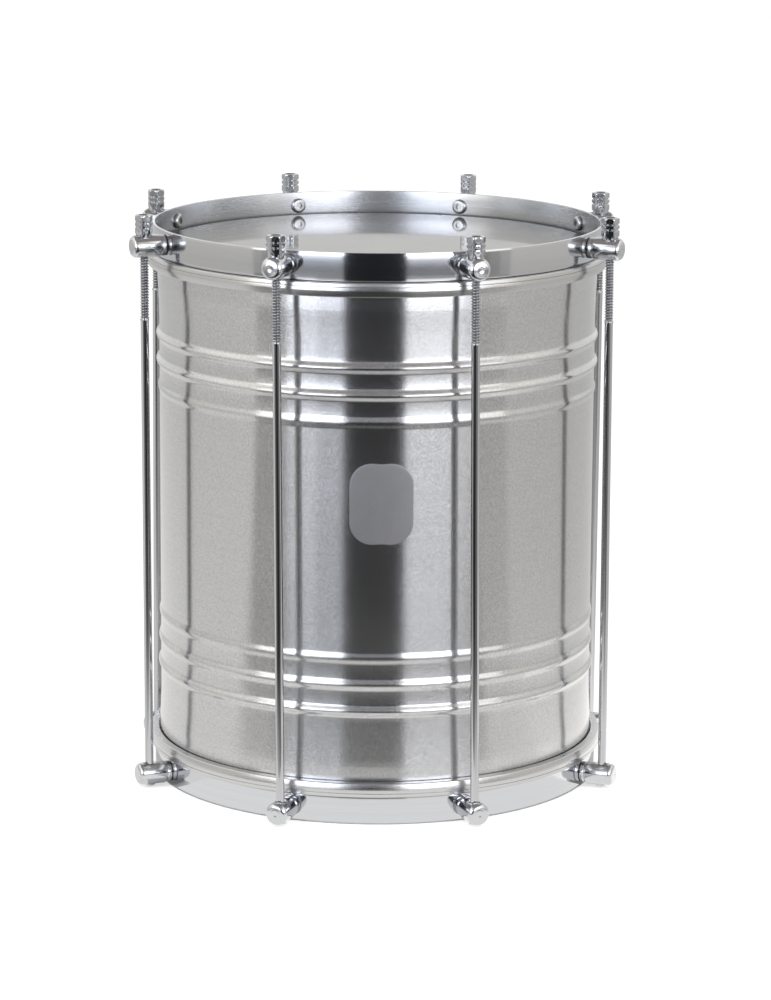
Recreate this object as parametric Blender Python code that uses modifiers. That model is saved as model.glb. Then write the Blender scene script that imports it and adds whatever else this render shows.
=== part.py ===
"""Repinique: a two-headed drum with a beaded aluminium shell, held by eight tension rods.

The origin is at the centre of the drum's foot, on the plane that the bottom band stands on.
+Z runs up the drum's axis and -Y is the front. Everything is in metres.
"""

import math

import bmesh
import bpy
from mathutils import Matrix, Vector

# Fits
SEAT_GAP = 0.0003  # between pieces that touch
SLIP_GAP = 0.0003  # round a shank or a film that passes another piece

# Round pieces
LUG_COUNT = 8
FACETS_PER_LUG = 4  # a whole number, so that a flat facet lies under every lug
LUG_STEPS = 8
NUT_STEPS = 12
SHANK_STEPS = 8
HEX_SIDES = 6
SHARP_ANGLE = math.radians(35)

# Shell
SHELL_RADIUS = 0.150
SHELL_LENGTH = 0.350
SHELL_SHEET = 0.0012
EDGE_RADIUS = 0.0030  # outside radius of the rolled bearing edge
EDGE_LIP = 0.0070  # how far the rolled edge runs back down inside
EDGE_STEPS = 3

# Beads rolled in the shell, counted from the middle of the drum outwards
BEAD_WIDTH = 0.0094
BEAD_STEPS = 4
FIRST_BEAD = 0.079
BEAD_PITCH = 0.018
TOP_BEAD_HEIGHTS = (0.0010, 0.0022, 0.0022)
BOTTOM_BEAD_HEIGHTS = (0.0010, 0.0014, 0.0018)

# Heads and flesh hoops
FILM = 0.0003
FILM_BEND_STEPS = 2
FILM_LIP = 0.0020  # how far the film reaches into the hoop's groove
FLESH_HOOP_WALL = 0.0063
FLESH_HOOP_HEIGHT = 0.0095
FLESH_HOOP_ROUND = 0.0026
HOOP_ROUND_STEPS = 2
GROOVE_DROP = 0.0058  # from the hoop's band side to the middle of its groove
EDGE_STAND = 0.0031  # how far the bearing edge stands past the flesh hoop

# Tension hoops, the flat bands
BAND_HEIGHT = 0.0190
BAND_WALL = 0.0020
BAND_SETBACK = 0.0006  # from the flesh hoop's bore to the band's inner face
BOTTOM_BAND_TURN = math.radians(1.1)  # against the top band, so that the rods lean a little

# Lugs
LUG_RADIUS = 0.0076
LUG_FOOT_RADIUS = 0.0071
LUG_FOOT_LENGTH = 0.0030
LUG_NECK_RADIUS = 0.0064
LUG_NECK_WIDTH = 0.0008
LUG_NOSE_ROUND = 0.0034
LUG_NOSE_STEPS = 2
ROD_OFFSET = 0.0143  # from the band's outer face to the rod's axis
NOSE_LENGTH = 0.0090  # from the rod's axis to the lug's outer end
NUT_SEAT_DEPTH = 0.0016
HEAD_POCKET_DEPTH = 0.0036

# Lug screws
SCREW_RADIUS = 0.0030
SCREW_HEAD_RADIUS = 0.00525
SCREW_CROWN_RADIUS = 0.0034
SCREW_HEAD_HEIGHT = 0.0024
SCREW_WALL = 0.0010  # left between a screw's bore and the rod's hole

# Tension rods
ROD_RADIUS = 0.00283
THREAD_RADIUS = 0.003175
THREAD_BELOW_LUG = 0.0418
ROD_CHAMFER = 0.0007
ROD_HEAD_FLATS = 0.0074
ROD_HEAD_HEIGHT = 0.0037
ROD_END_DEPTH = 0.0015  # from the nut's top down to the rod's end

# Tension nuts
NUT_FLATS = 0.0111
NUT_HEIGHT = 0.0147
NUT_FOOT_CHAMFER = 0.0011
NUT_TOP_CHAMFER = 0.0014
NUT_GROOVE_WIDTH = 0.0015
NUT_GROOVE_DEPTH = 0.0002  # below the flats, so that a groove shows most at the corners
NUT_GROOVE_DROPS = (0.0044, 0.0078)  # from the nut's top to the middle of each groove
NUT_TURNS = (-10, -16, 2, -6, -27, 30, -27, 18)  # degrees from each lug's direction to its nut's flat

# Places that follow from the sizes
PITCH = 2 * math.pi / LUG_COUNT
FRONT = -math.pi / 2
RING_STEPS = LUG_COUNT * FACETS_PER_LUG
BOTTOM_LUG_Z = BAND_HEIGHT / 2
FLESH_HOOP_Z = BAND_HEIGHT + SEAT_GAP
SHELL_FOOT_Z = FLESH_HOOP_Z - EDGE_STAND
MIDDLE_Z = SHELL_FOOT_Z + SHELL_LENGTH / 2
SHELL_TOP_Z = SHELL_FOOT_Z + SHELL_LENGTH
TOP_LUG_Z = 2 * MIDDLE_Z - BOTTOM_LUG_Z
FILM_RADIUS = SHELL_RADIUS + SLIP_GAP + FILM
FLESH_HOOP_BORE = FILM_RADIUS + SLIP_GAP
BAND_BORE = FLESH_HOOP_BORE + BAND_SETBACK
BAND_RADIUS = BAND_BORE + BAND_WALL
LUG_START = BAND_RADIUS + SEAT_GAP
ROD_CIRCLE = BAND_RADIUS + ROD_OFFSET
LUG_END = ROD_CIRCLE + NOSE_LENGTH
SCREW_BORE = SCREW_RADIUS + SLIP_GAP
ROD_HOLE = THREAD_RADIUS + SLIP_GAP
SCREW_BORE_END = ROD_CIRCLE - ROD_HOLE - SCREW_WALL
NUT_CORNER = NUT_FLATS / 2 / math.cos(math.pi / HEX_SIDES)
NUT_FOOT_RADIUS = NUT_CORNER - NUT_FOOT_CHAMFER
NUT_SEAT_Z = TOP_LUG_Z + LUG_RADIUS - NUT_SEAT_DEPTH
NUT_Z = NUT_SEAT_Z + SEAT_GAP
ROD_TOP_Z = NUT_Z + NUT_HEIGHT - ROD_END_DEPTH
ROD_HEAD_TOP_Z = BOTTOM_LUG_Z - LUG_RADIUS + HEAD_POCKET_DEPTH - SEAT_GAP
THREAD_END_Z = TOP_LUG_Z - LUG_RADIUS - THREAD_BELOW_LUG
ROD_GRIP_Z = (TOP_LUG_Z - LUG_RADIUS + NUT_Z + NUT_HEIGHT) / 2  # the middle of the top lug with its nut


def cleared_scene():
    """Removes what the scene holds and returns the collections for the parts and the cutters."""
    for obj in list(bpy.data.objects):
        bpy.data.objects.remove(obj, do_unlink=True)
    collections = []
    for name in ("repinique", "cutters"):
        collection = bpy.data.collections.new(name)
        bpy.context.scene.collection.children.link(collection)
        collections.append(collection)
    return collections


def finish(name, colour, roughness, metallic):
    """A plain Principled material."""
    material = bpy.data.materials.new(name)
    material.use_nodes = True
    shader = material.node_tree.nodes["Principled BSDF"]
    shader.inputs["Base Color"].default_value = (*colour, 1.0)
    shader.inputs["Roughness"].default_value = roughness
    shader.inputs["Metallic"].default_value = metallic
    material.diffuse_color = (*colour, 1.0)
    return material


def round_through_flats(radius, steps):
    """The corner radius of a polygon whose flats lie at the given radius."""
    return radius / math.cos(math.pi / steps)


def arc(centre, radius, start, end, steps):
    """Points on an arc in the (radius, height) plane, with its angles in degrees."""
    points = []
    for step in range(steps + 1):
        angle = math.radians(start + (end - start) * step / steps)
        points.append((centre[0] + radius * math.cos(angle), centre[1] + radius * math.sin(angle)))
    return points


def mirrored(outline):
    """The same outline at the other end of the drum, still running down its outer side."""
    return [(radius, 2 * MIDDLE_Z - height) for radius, height in reversed(outline)]


def turned(name, outline, steps, collection, closed=False, flats=False, turn=0.0):
    """An outline of (radius, height) points turned about Z. With flats, the radii are those of the facets."""
    widen = round_through_flats(1.0, steps) if flats else 1.0
    points = [(radius * widen, 0.0, height) for radius, height in outline]
    edges = [(i, i + 1) for i in range(len(points) - 1)]
    if closed:
        edges.append((len(points) - 1, 0))
    mesh = bpy.data.meshes.new(name)
    mesh.from_pydata(points, edges, [])
    obj = bpy.data.objects.new(name, mesh)
    collection.objects.link(obj)
    obj.rotation_euler.z = turn
    screw = obj.modifiers.new("turn", "SCREW")
    screw.axis = "Z"
    screw.angle = 2 * math.pi
    screw.steps = steps
    screw.render_steps = steps
    screw.use_merge_vertices = True
    screw.merge_threshold = 0.00001
    return obj


def ring(name, outline, collection, closed=True, turn=0.0):
    """A turned piece as wide as the drum, with a flat facet under each lug."""
    start = FRONT + PITCH / 2 + math.pi / RING_STEPS + turn
    return turned(name, outline, RING_STEPS, collection, closed=closed, flats=True, turn=start)


def sheet(obj, thickness):
    """Gives an open surface its thickness, behind the face that shows."""
    solidify = obj.modifiers.new("sheet", "SOLIDIFY")
    solidify.thickness = thickness
    solidify.offset = -1.0
    solidify.use_even_offset = True


def combine(obj, other, operation):
    """Cuts, joins or intersects a piece with another object."""
    boolean = obj.modifiers.new(operation.lower(), "BOOLEAN")
    boolean.operation = operation
    boolean.solver = "EXACT"
    boolean.object = other
    other.hide_render = True
    other.display_type = "WIRE"


def settled(obj, material):
    """Turns the modifiers into mesh, gives it its material and shades it smooth between its corners."""
    depsgraph = bpy.context.evaluated_depsgraph_get()
    mesh = bpy.data.meshes.new_from_object(obj.evaluated_get(depsgraph))
    mesh.name = obj.name
    obj.modifiers.clear()
    obj.data = mesh
    mesh.materials.clear()
    mesh.materials.append(material)
    mesh.shade_smooth()
    mesh.set_sharp_from_angle(angle=SHARP_ANGLE)
    return obj


def prism(name, radius, sides, low, high, collection):
    """An upright prism cutter about Z whose flats lie at the given radius, the first one facing +X."""
    body = bmesh.new()
    corner = round_through_flats(radius, sides)
    turn = Matrix.Rotation(math.pi / sides - math.pi / 2, 4, "Z")
    place = Matrix.Translation((0.0, 0.0, (low + high) / 2))
    bmesh.ops.create_cone(
        body,
        cap_ends=True,
        segments=sides,
        radius1=corner,
        radius2=corner,
        depth=high - low,
        matrix=place @ turn,
    )
    mesh = bpy.data.meshes.new(name)
    body.to_mesh(mesh)
    body.free()
    obj = bpy.data.objects.new(name, mesh)
    collection.objects.link(obj)
    return obj


def lug_angle(index, turn=0.0):
    """The angle of a lug on a band with the given turn. The first lug is at the front, on the right."""
    return FRONT + (index + 0.5) * PITCH + turn


def copies_round(name, mesh, height, turn, collection):
    """One cutter that holds a copy of the mesh for every lug of a band, all at one height."""
    body = bmesh.new()
    for index in range(LUG_COUNT):
        before = set(body.verts)
        body.from_mesh(mesh)
        copied = [vertex for vertex in body.verts if vertex not in before]
        place = Matrix.Translation((0.0, 0.0, height)) @ Matrix.Rotation(lug_angle(index, turn), 4, "Z")
        bmesh.ops.transform(body, matrix=place, verts=copied)
    joined = bpy.data.meshes.new(name)
    body.to_mesh(joined)
    body.free()
    obj = bpy.data.objects.new(name, joined)
    collection.objects.link(obj)
    return obj


def round_the_drum(name, mesh, height, turn, collection):
    """A piece for every lug of a band, each an object of its own, turned about the drum's axis."""
    for index in range(LUG_COUNT):
        obj = bpy.data.objects.new(f"{name}_{index + 1}", mesh)
        collection.objects.link(obj)
        obj.location.z = height
        obj.rotation_euler.z = lug_angle(index, turn)


def pattern_piece(obj):
    """Takes a finished piece out of the scene and returns its mesh, laid along +X, for copies."""
    mesh = obj.data
    mesh.transform(obj.matrix_basis)
    bpy.data.objects.remove(obj)
    return mesh


def laid_outwards(obj):
    """Lays a piece that was turned about Z along +X, so that its top faces out of the drum."""
    obj.data.transform(Matrix.Rotation(math.pi / 2, 4, "Y"))


def bead(centre, height):
    """The points of one bead that stands out of the shell, in a cosine wave."""
    points = []
    for step in range(BEAD_STEPS + 1):
        share = step / BEAD_STEPS
        rise = height * (1 - math.cos(2 * math.pi * share)) / 2
        points.append((SHELL_RADIUS + rise, centre + BEAD_WIDTH * (0.5 - share)))
    return points


def make_shell(parts, material):
    """The beaded aluminium tube, with its edges rolled in for the heads to bear on."""
    inner = SHELL_RADIUS - 2 * EDGE_RADIUS
    centre = (SHELL_RADIUS - EDGE_RADIUS, SHELL_TOP_Z - EDGE_RADIUS)
    top_edge = [(inner, centre[1] - EDGE_LIP)] + arc(centre, EDGE_RADIUS, 180, 0, EDGE_STEPS)
    outline = list(top_edge)
    for order in reversed(range(len(TOP_BEAD_HEIGHTS))):
        outline += bead(MIDDLE_Z + FIRST_BEAD + order * BEAD_PITCH, TOP_BEAD_HEIGHTS[order])
    for order, height in enumerate(BOTTOM_BEAD_HEIGHTS):
        outline += bead(MIDDLE_Z - FIRST_BEAD - order * BEAD_PITCH, height)
    outline += mirrored(top_edge)
    shell = ring("shell", outline, parts, closed=False)
    sheet(shell, SHELL_SHEET)
    settled(shell, material)


def make_heads(parts, material):
    """The two films, each tucked down over the bearing edge and locked in its hoop's groove."""
    bend = EDGE_RADIUS + SEAT_GAP + FILM
    centre = (SHELL_RADIUS - EDGE_RADIUS, SHELL_TOP_Z - EDGE_RADIUS)
    lip_z = 2 * MIDDLE_Z - FLESH_HOOP_Z - GROOVE_DROP + FILM / 2
    outline = [(0.0, centre[1] + bend)] + arc(centre, bend, 90, 0, FILM_BEND_STEPS)
    outline += [(FILM_RADIUS, lip_z), (FILM_RADIUS + FILM_LIP, lip_z)]
    for name, half in (("top_head", outline), ("bottom_head", mirrored(outline))):
        head = ring(name, half, parts, closed=False)
        sheet(head, FILM)
        settled(head, material)


def make_flesh_hoops(parts, material):
    """The rounded rings that carry the films, each with a groove in its bore for the film's lip."""
    high = 2 * MIDDLE_Z - FLESH_HOOP_Z
    low = high - FLESH_HOOP_HEIGHT
    outer = FLESH_HOOP_BORE + FLESH_HOOP_WALL
    turn_in = outer - FLESH_HOOP_ROUND
    groove_top = high - GROOVE_DROP + FILM / 2 + SLIP_GAP
    groove_foot = groove_top - FILM - 2 * SLIP_GAP
    groove_end = FILM_RADIUS + FILM_LIP + SLIP_GAP
    outline = arc((turn_in, high - FLESH_HOOP_ROUND), FLESH_HOOP_ROUND, 90, 0, HOOP_ROUND_STEPS)
    outline += arc((turn_in, low + FLESH_HOOP_ROUND), FLESH_HOOP_ROUND, 0, -90, HOOP_ROUND_STEPS)
    outline += [
        (FLESH_HOOP_BORE, low),
        (FLESH_HOOP_BORE, groove_foot),
        (groove_end, groove_foot),
        (groove_end, groove_top),
        (FLESH_HOOP_BORE, groove_top),
        (FLESH_HOOP_BORE, high),
    ]
    for name, half in (("top_flesh_hoop", outline), ("bottom_flesh_hoop", mirrored(outline))):
        settled(ring(name, half, parts), material)


def make_tension_hoops(parts, cutters, material):
    """The flat bands, drilled for the lug screws."""
    drill = prism("drill", SCREW_BORE, SHANK_STEPS, BAND_BORE - BAND_WALL, BAND_RADIUS + BAND_WALL, cutters)
    laid_outwards(drill)
    kinds = {"top": (2 * MIDDLE_Z - BAND_HEIGHT, 0.0), "bottom": (0.0, BOTTOM_BAND_TURN)}
    for end, (low, turn) in kinds.items():
        high = low + BAND_HEIGHT
        outline = [(BAND_RADIUS, high), (BAND_RADIUS, low), (BAND_BORE, low), (BAND_BORE, high)]
        band = ring(end + "_tension_hoop", outline, parts, turn=turn)
        holes = copies_round(end + "_holes", drill.data, (low + high) / 2, turn, cutters)
        combine(band, holes, "DIFFERENCE")
        settled(band, material)
    drill.hide_render = True
    drill.display_type = "WIRE"


def make_lug_screws(parts, material):
    """The button-head screws that hold the lugs from inside the bands."""
    seat = BAND_BORE - SEAT_GAP
    crown = seat - SCREW_HEAD_HEIGHT
    tip = SCREW_BORE_END - SEAT_GAP
    outline = [
        (0.0, tip),
        (SCREW_RADIUS, tip),
        (SCREW_RADIUS, seat),
        (SCREW_HEAD_RADIUS, seat),
        (SCREW_CROWN_RADIUS, crown),
        (0.0, crown),
    ]
    screw = turned("screw", outline, SHANK_STEPS, parts)
    settled(screw, material)
    laid_outwards(screw)
    mesh = pattern_piece(screw)
    round_the_drum("top_lug_screw", mesh, TOP_LUG_Z, 0.0, parts)
    round_the_drum("bottom_lug_screw", mesh, BOTTOM_LUG_Z, BOTTOM_BAND_TURN, parts)


def lug_blank(name, parts):
    """A lug before it is drilled across: a round-nosed barrel, a neck, a foot and the screw's blind bore."""
    bore = round_through_flats(SCREW_BORE, LUG_STEPS)
    nose = (LUG_RADIUS - LUG_NOSE_ROUND, LUG_END - LUG_NOSE_ROUND)
    outline = [(0.0, LUG_END)] + arc(nose, LUG_NOSE_ROUND, 90, 0, LUG_NOSE_STEPS)
    foot_end = LUG_START + LUG_FOOT_LENGTH
    outline += [
        (LUG_RADIUS, foot_end + LUG_NECK_WIDTH),
        (LUG_NECK_RADIUS, foot_end + LUG_NECK_WIDTH),
        (LUG_NECK_RADIUS, foot_end),
        (LUG_FOOT_RADIUS, foot_end),
        (LUG_FOOT_RADIUS, LUG_START),
        (bore, LUG_START),
        (bore, SCREW_BORE_END),
        (0.0, SCREW_BORE_END),
    ]
    blank = turned(name, outline, LUG_STEPS, parts)
    settled(blank, None)
    laid_outwards(blank)
    return blank


def make_lugs(parts, cutters, material):
    """The lugs: drilled across for the rods, with a nut seat on top or a head pocket below."""
    reach = 2 * LUG_RADIUS
    seat_radius = NUT_FOOT_RADIUS + SLIP_GAP
    pocket_radius = ROD_HEAD_FLATS / 2 + SLIP_GAP
    kinds = {
        "top": (TOP_LUG_Z, 0.0, seat_radius, LUG_STEPS, LUG_RADIUS - NUT_SEAT_DEPTH, reach),
        "bottom": (
            BOTTOM_LUG_Z,
            BOTTOM_BAND_TURN,
            pocket_radius,
            HEX_SIDES,
            -reach,
            HEAD_POCKET_DEPTH - LUG_RADIUS,
        ),
    }
    for end, (height, turn, radius, sides, low, high) in kinds.items():
        blank = lug_blank(end + "_lug", parts)
        hole = prism(end + "_rod_hole", ROD_HOLE, SHANK_STEPS, -reach, reach, cutters)
        seat = prism(end + "_seat", radius, sides, low, high, cutters)
        for cutter in (hole, seat):
            cutter.location.x = ROD_CIRCLE
            combine(blank, cutter, "DIFFERENCE")
        settled(blank, material)
        round_the_drum(end + "_lug", pattern_piece(blank), height, turn, parts)


def on_rod_circle(angle, height):
    """The middle of a rod's hole at the given angle about the drum's axis."""
    return Vector((ROD_CIRCLE * math.cos(angle), ROD_CIRCLE * math.sin(angle), height))


def rod_place(index):
    """The matrix that stands a rod in the middle of its bottom lug and leans it to its top one."""
    angle = lug_angle(index, BOTTOM_BAND_TURN)
    foot = on_rod_circle(angle, BOTTOM_LUG_Z)
    grip = on_rod_circle(lug_angle(index), ROD_GRIP_Z)
    lean = Vector((0.0, 0.0, 1.0)).rotation_difference(grip - foot).to_matrix().to_4x4()
    drop = Matrix.Translation((0.0, 0.0, -BOTTOM_LUG_Z))
    return Matrix.Translation(foot) @ lean @ Matrix.Rotation(angle, 4, "Z") @ drop


def make_tension_rods(parts, cutters, material):
    """The rods: a plain shank with a threaded top and a hexagon head that its lug keeps from turning."""
    head_foot = ROD_HEAD_TOP_Z - ROD_HEAD_HEIGHT
    shank_foot = ROD_HEAD_TOP_Z - ROD_HEAD_HEIGHT / 2
    outline = [
        (0.0, ROD_TOP_Z),
        (THREAD_RADIUS - ROD_CHAMFER, ROD_TOP_Z),
        (THREAD_RADIUS, ROD_TOP_Z - ROD_CHAMFER),
        (THREAD_RADIUS, THREAD_END_Z),
        (ROD_RADIUS, THREAD_END_Z - ROD_CHAMFER),
        (ROD_RADIUS, shank_foot),
        (0.0, shank_foot),
    ]
    rod = turned("rod", outline, SHANK_STEPS, parts)
    head = prism("rod_head", ROD_HEAD_FLATS / 2, HEX_SIDES, head_foot, ROD_HEAD_TOP_Z, cutters)
    combine(rod, head, "UNION")
    settled(rod, material)
    mesh = pattern_piece(rod)
    for index in range(LUG_COUNT):
        copy = bpy.data.objects.new(f"tension_rod_{index + 1}", mesh)
        parts.objects.link(copy)
        copy.matrix_basis = rod_place(index)


def nut_outline():
    """The nut's turned form, from the top down: two grooves, the foot that fills its seat, and the bore."""
    bore = round_through_flats(THREAD_RADIUS + SLIP_GAP, NUT_STEPS)
    outer = round_through_flats(NUT_CORNER, NUT_STEPS)
    neck = NUT_FLATS / 2 - NUT_GROOVE_DEPTH
    outline = [(outer - NUT_TOP_CHAMFER, NUT_HEIGHT), (outer, NUT_HEIGHT - NUT_TOP_CHAMFER)]
    for drop in NUT_GROOVE_DROPS:
        groove = NUT_HEIGHT - drop
        half = NUT_GROOVE_WIDTH / 2
        outline += [(outer, groove + half), (neck, groove + half)]
        outline += [(neck, groove - half), (outer, groove - half)]
    foot_top = NUT_SEAT_DEPTH
    outline += [
        (outer, foot_top + NUT_FOOT_CHAMFER),
        (NUT_FOOT_RADIUS, foot_top),
        (NUT_FOOT_RADIUS, 0.0),
        (bore, 0.0),
        (bore, NUT_HEIGHT),
    ]
    return outline


def make_tension_nuts(parts, cutters, material):
    """The tall hexagon nuts, each with its origin on the axis that it turns about and at its own turn."""
    nut = turned("nut", nut_outline(), NUT_STEPS, parts, closed=True)
    hexagon = prism("nut_hexagon", NUT_FLATS / 2, HEX_SIDES, -NUT_FOOT_CHAMFER, 2 * NUT_HEIGHT, cutters)
    combine(nut, hexagon, "INTERSECT")
    settled(nut, material)
    mesh = pattern_piece(nut)
    for index in range(LUG_COUNT):
        copy = bpy.data.objects.new(f"tension_nut_{index + 1}", mesh)
        parts.objects.link(copy)
        copy.location = on_rod_circle(lug_angle(index), NUT_Z)
        copy.rotation_euler.z = lug_angle(index) + math.radians(NUT_TURNS[index])


def main():
    parts, cutters = cleared_scene()
    brushed = finish("brushed_aluminium", (0.52, 0.51, 0.49), 0.34, 1.0)
    satin = finish("satin_aluminium", (0.60, 0.60, 0.60), 0.28, 1.0)
    chrome = finish("chrome", (0.62, 0.63, 0.65), 0.08, 1.0)
    steel = finish("plated_steel", (0.50, 0.51, 0.53), 0.18, 1.0)
    film = finish("drumhead_film", (0.55, 0.55, 0.54), 0.15, 0.0)
    make_shell(parts, brushed)
    make_heads(parts, film)
    make_flesh_hoops(parts, satin)
    make_tension_hoops(parts, cutters, chrome)
    make_lug_screws(parts, steel)
    make_lugs(parts, cutters, chrome)
    make_tension_rods(parts, cutters, steel)
    make_tension_nuts(parts, cutters, chrome)


main()
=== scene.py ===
"""Looks of the repinique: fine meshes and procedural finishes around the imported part, in a pale studio.

Every piece stands for its CAD node, at the same place and size, in metres.
"""

import logging
import math
from dataclasses import dataclass, field
from enum import Enum
from typing import Callable, Iterable, Optional, Sequence

import bmesh
import bpy
from mathutils import Matrix, Vector


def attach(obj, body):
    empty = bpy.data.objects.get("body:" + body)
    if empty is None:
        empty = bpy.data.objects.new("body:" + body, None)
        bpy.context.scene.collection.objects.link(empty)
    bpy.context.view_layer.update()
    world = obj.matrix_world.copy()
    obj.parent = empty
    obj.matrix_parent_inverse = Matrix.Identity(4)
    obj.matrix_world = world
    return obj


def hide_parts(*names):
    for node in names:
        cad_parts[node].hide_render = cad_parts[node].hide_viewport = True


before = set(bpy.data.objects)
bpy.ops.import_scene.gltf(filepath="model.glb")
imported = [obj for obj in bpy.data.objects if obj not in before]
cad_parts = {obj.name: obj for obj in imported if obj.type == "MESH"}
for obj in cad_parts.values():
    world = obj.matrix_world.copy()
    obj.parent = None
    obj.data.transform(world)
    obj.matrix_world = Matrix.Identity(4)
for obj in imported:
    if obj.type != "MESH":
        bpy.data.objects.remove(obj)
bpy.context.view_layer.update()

LOG = logging.getLogger("repinique")

Point = tuple[float, float, float]
Outline = list[tuple[float, float]]
Colour = tuple[float, float, float]
Reach = Callable[[float], float]


class Body(Enum):
    """The rigid bodies that pieces ride on."""

    DRUM = "drum"
    NUT = "nut_{}"

    def named(self, index: int = 0) -> str:
        """The body's name in the frame, counted from zero for the nuts."""
        return self.value.format(index + 1)


class End(Enum):
    """The two ends of the drum."""

    TOP = "top"
    BOTTOM = "bottom"


class Slot(Enum):
    """The record's material slots."""

    SHELL = "shell_aluminium"
    HOOP = "hoop_aluminium"
    CHROME = "chrome"
    STEEL = "plated_steel"
    FILM = "drumhead_film"


@dataclass(frozen=True)
class DrumSizes:
    """The sizes that more than one sub-assembly needs, as in the part's source."""

    gap: float = 0.0003
    lugs: int = 8
    shell_radius: float = 0.150
    shell_length: float = 0.350
    waist: float = 0.0010
    edge_radius: float = 0.0030
    edge_stand: float = 0.0031
    film: float = 0.0003
    band_height: float = 0.0190
    band_wall: float = 0.0020
    band_setback: float = 0.0006
    rod_offset: float = 0.0143
    nose_length: float = 0.0090
    lug_radius: float = 0.0076
    nut_seat_depth: float = 0.0016
    head_pocket_depth: float = 0.0036
    nut_height: float = 0.0147
    rod_end_depth: float = 0.0015
    bottom_band_turn: float = math.radians(1.1)

    @property
    def hoop_foot(self) -> float:
        """Height of the lower face of the bottom flesh hoop."""
        return self.band_height + self.gap

    @property
    def shell_foot(self) -> float:
        """Height of the shell's lower bearing edge."""
        return self.hoop_foot - self.edge_stand

    @property
    def shell_top(self) -> float:
        """Height of the shell's upper bearing edge."""
        return self.shell_foot + self.shell_length

    @property
    def middle(self) -> float:
        """Height of the plane that the drum's two halves mirror in."""
        return self.shell_foot + self.shell_length / 2

    @property
    def waist_radius(self) -> float:
        """Outer radius of the shell between its beads, a little less than at its ends."""
        return self.shell_radius - self.waist

    @property
    def film_radius(self) -> float:
        """Outer radius of the film's skirt."""
        return self.shell_radius + self.gap + self.film

    @property
    def hoop_bore(self) -> float:
        """Inner radius of the flesh hoops."""
        return self.film_radius + self.gap

    @property
    def band_bore(self) -> float:
        """Inner radius of the tension hoops."""
        return self.hoop_bore + self.band_setback

    @property
    def band_radius(self) -> float:
        """Outer radius of the tension hoops."""
        return self.band_bore + self.band_wall

    @property
    def rod_circle(self) -> float:
        """Radius of the circle that the rods stand on."""
        return self.band_radius + self.rod_offset

    @property
    def lug_end(self) -> float:
        """Distance from the drum's axis to the lugs' outer ends."""
        return self.rod_circle + self.nose_length

    @property
    def nut_foot(self) -> float:
        """Height of the nuts' lower ends."""
        return self.lug_height(End.TOP) + self.lug_radius - self.nut_seat_depth + self.gap

    @property
    def rod_top(self) -> float:
        """Height of the rods' upper ends."""
        return self.nut_foot + self.nut_height - self.rod_end_depth

    def lug_height(self, end: End) -> float:
        """Height of the lugs' axes.

        Args:
            end: which end of the drum.

        Returns:
            The height in metres.
        """
        low = self.band_height / 2
        return low if end is End.BOTTOM else 2 * self.middle - low

    def lug_angle(self, index: int, end: End = End.TOP) -> float:
        """Angle of a lug about the drum's axis, counted from the front right.

        Args:
            index: the lug's number, from zero.
            end: which end of the drum.

        Returns:
            The angle in radians.
        """
        turn = self.bottom_band_turn if end is End.BOTTOM else 0.0
        return -math.pi / 2 + (index + 0.5) * 2 * math.pi / self.lugs + turn

    def on_rod_circle(self, angle: float, height: float) -> Vector:
        """The middle of a rod's hole.

        Args:
            angle: its angle about the drum's axis.
            height: its height.

        Returns:
            The point.
        """
        return Vector((self.rod_circle * math.cos(angle), self.rod_circle * math.sin(angle), height))

    def mirrored(self, outline: Outline) -> Outline:
        """The same outline at the other end of the drum, still running down its outer side.

        Args:
            outline: points as (radius, height).

        Returns:
            The mirrored points.
        """
        return [(radius, 2 * self.middle - height) for radius, height in reversed(outline)]


def arc(centre: tuple[float, float], radius: float, start: float, end: float, steps: int) -> Outline:
    """Points on an arc in the (radius, height) plane.

    Args:
        centre: the arc's centre.
        radius: the arc's radius.
        start: first angle in degrees, from the radius axis.
        end: last angle in degrees.
        steps: how many chords.

    Returns:
        The points, both ends included.
    """
    points = []
    for step in range(steps + 1):
        angle = math.radians(start + (end - start) * step / steps)
        points.append((centre[0] + radius * math.cos(angle), centre[1] + radius * math.sin(angle)))
    return points


def inside_of(outline: Outline, thickness: float) -> Outline:
    """An outline moved to the back of a sheet.

    Args:
        outline: the face that shows, running down its outer side.
        thickness: the sheet's thickness.

    Returns:
        The points behind it, in the same order.
    """
    moved = []
    for index, (radius, height) in enumerate(outline):
        before = outline[max(index - 1, 0)]
        after = outline[min(index + 1, len(outline) - 1)]
        run, drop = after[0] - before[0], after[1] - before[1]
        length = math.hypot(run, drop)
        moved.append((radius + thickness * drop / length, height - thickness * run / length))
    return moved


def skinned(name: str, rings: Sequence[Sequence[Point]], loop: bool = False) -> bpy.types.Object:
    """A closed mesh through rings of points. A ring of one point is a pole.

    Args:
        name: the object's name.
        rings: rings of points, running down the outer side.
        loop: whether the last ring joins the first.

    Returns:
        The new object, in the scene.
    """
    points: list[Point] = []
    rows = []
    for ring in rings:
        rows.append(list(range(len(points), len(points) + len(ring))))
        points += ring
    faces = []
    pairs = list(zip(rows, rows[1:])) + ([(rows[-1], rows[0])] if loop else [])
    for upper, lower in pairs:
        steps = max(len(upper), len(lower))
        for here in range(steps):
            there = (here + 1) % steps
            if len(upper) == 1:
                faces.append((upper[0], lower[here], lower[there]))
            elif len(lower) == 1:
                faces.append((upper[here], lower[0], upper[there]))
            else:
                faces.append((upper[here], lower[here], lower[there], upper[there]))
    mesh = bpy.data.meshes.new(name)
    mesh.from_pydata(points, [], faces)
    obj = bpy.data.objects.new(name, mesh)
    bpy.context.scene.collection.objects.link(obj)
    return obj


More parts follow.
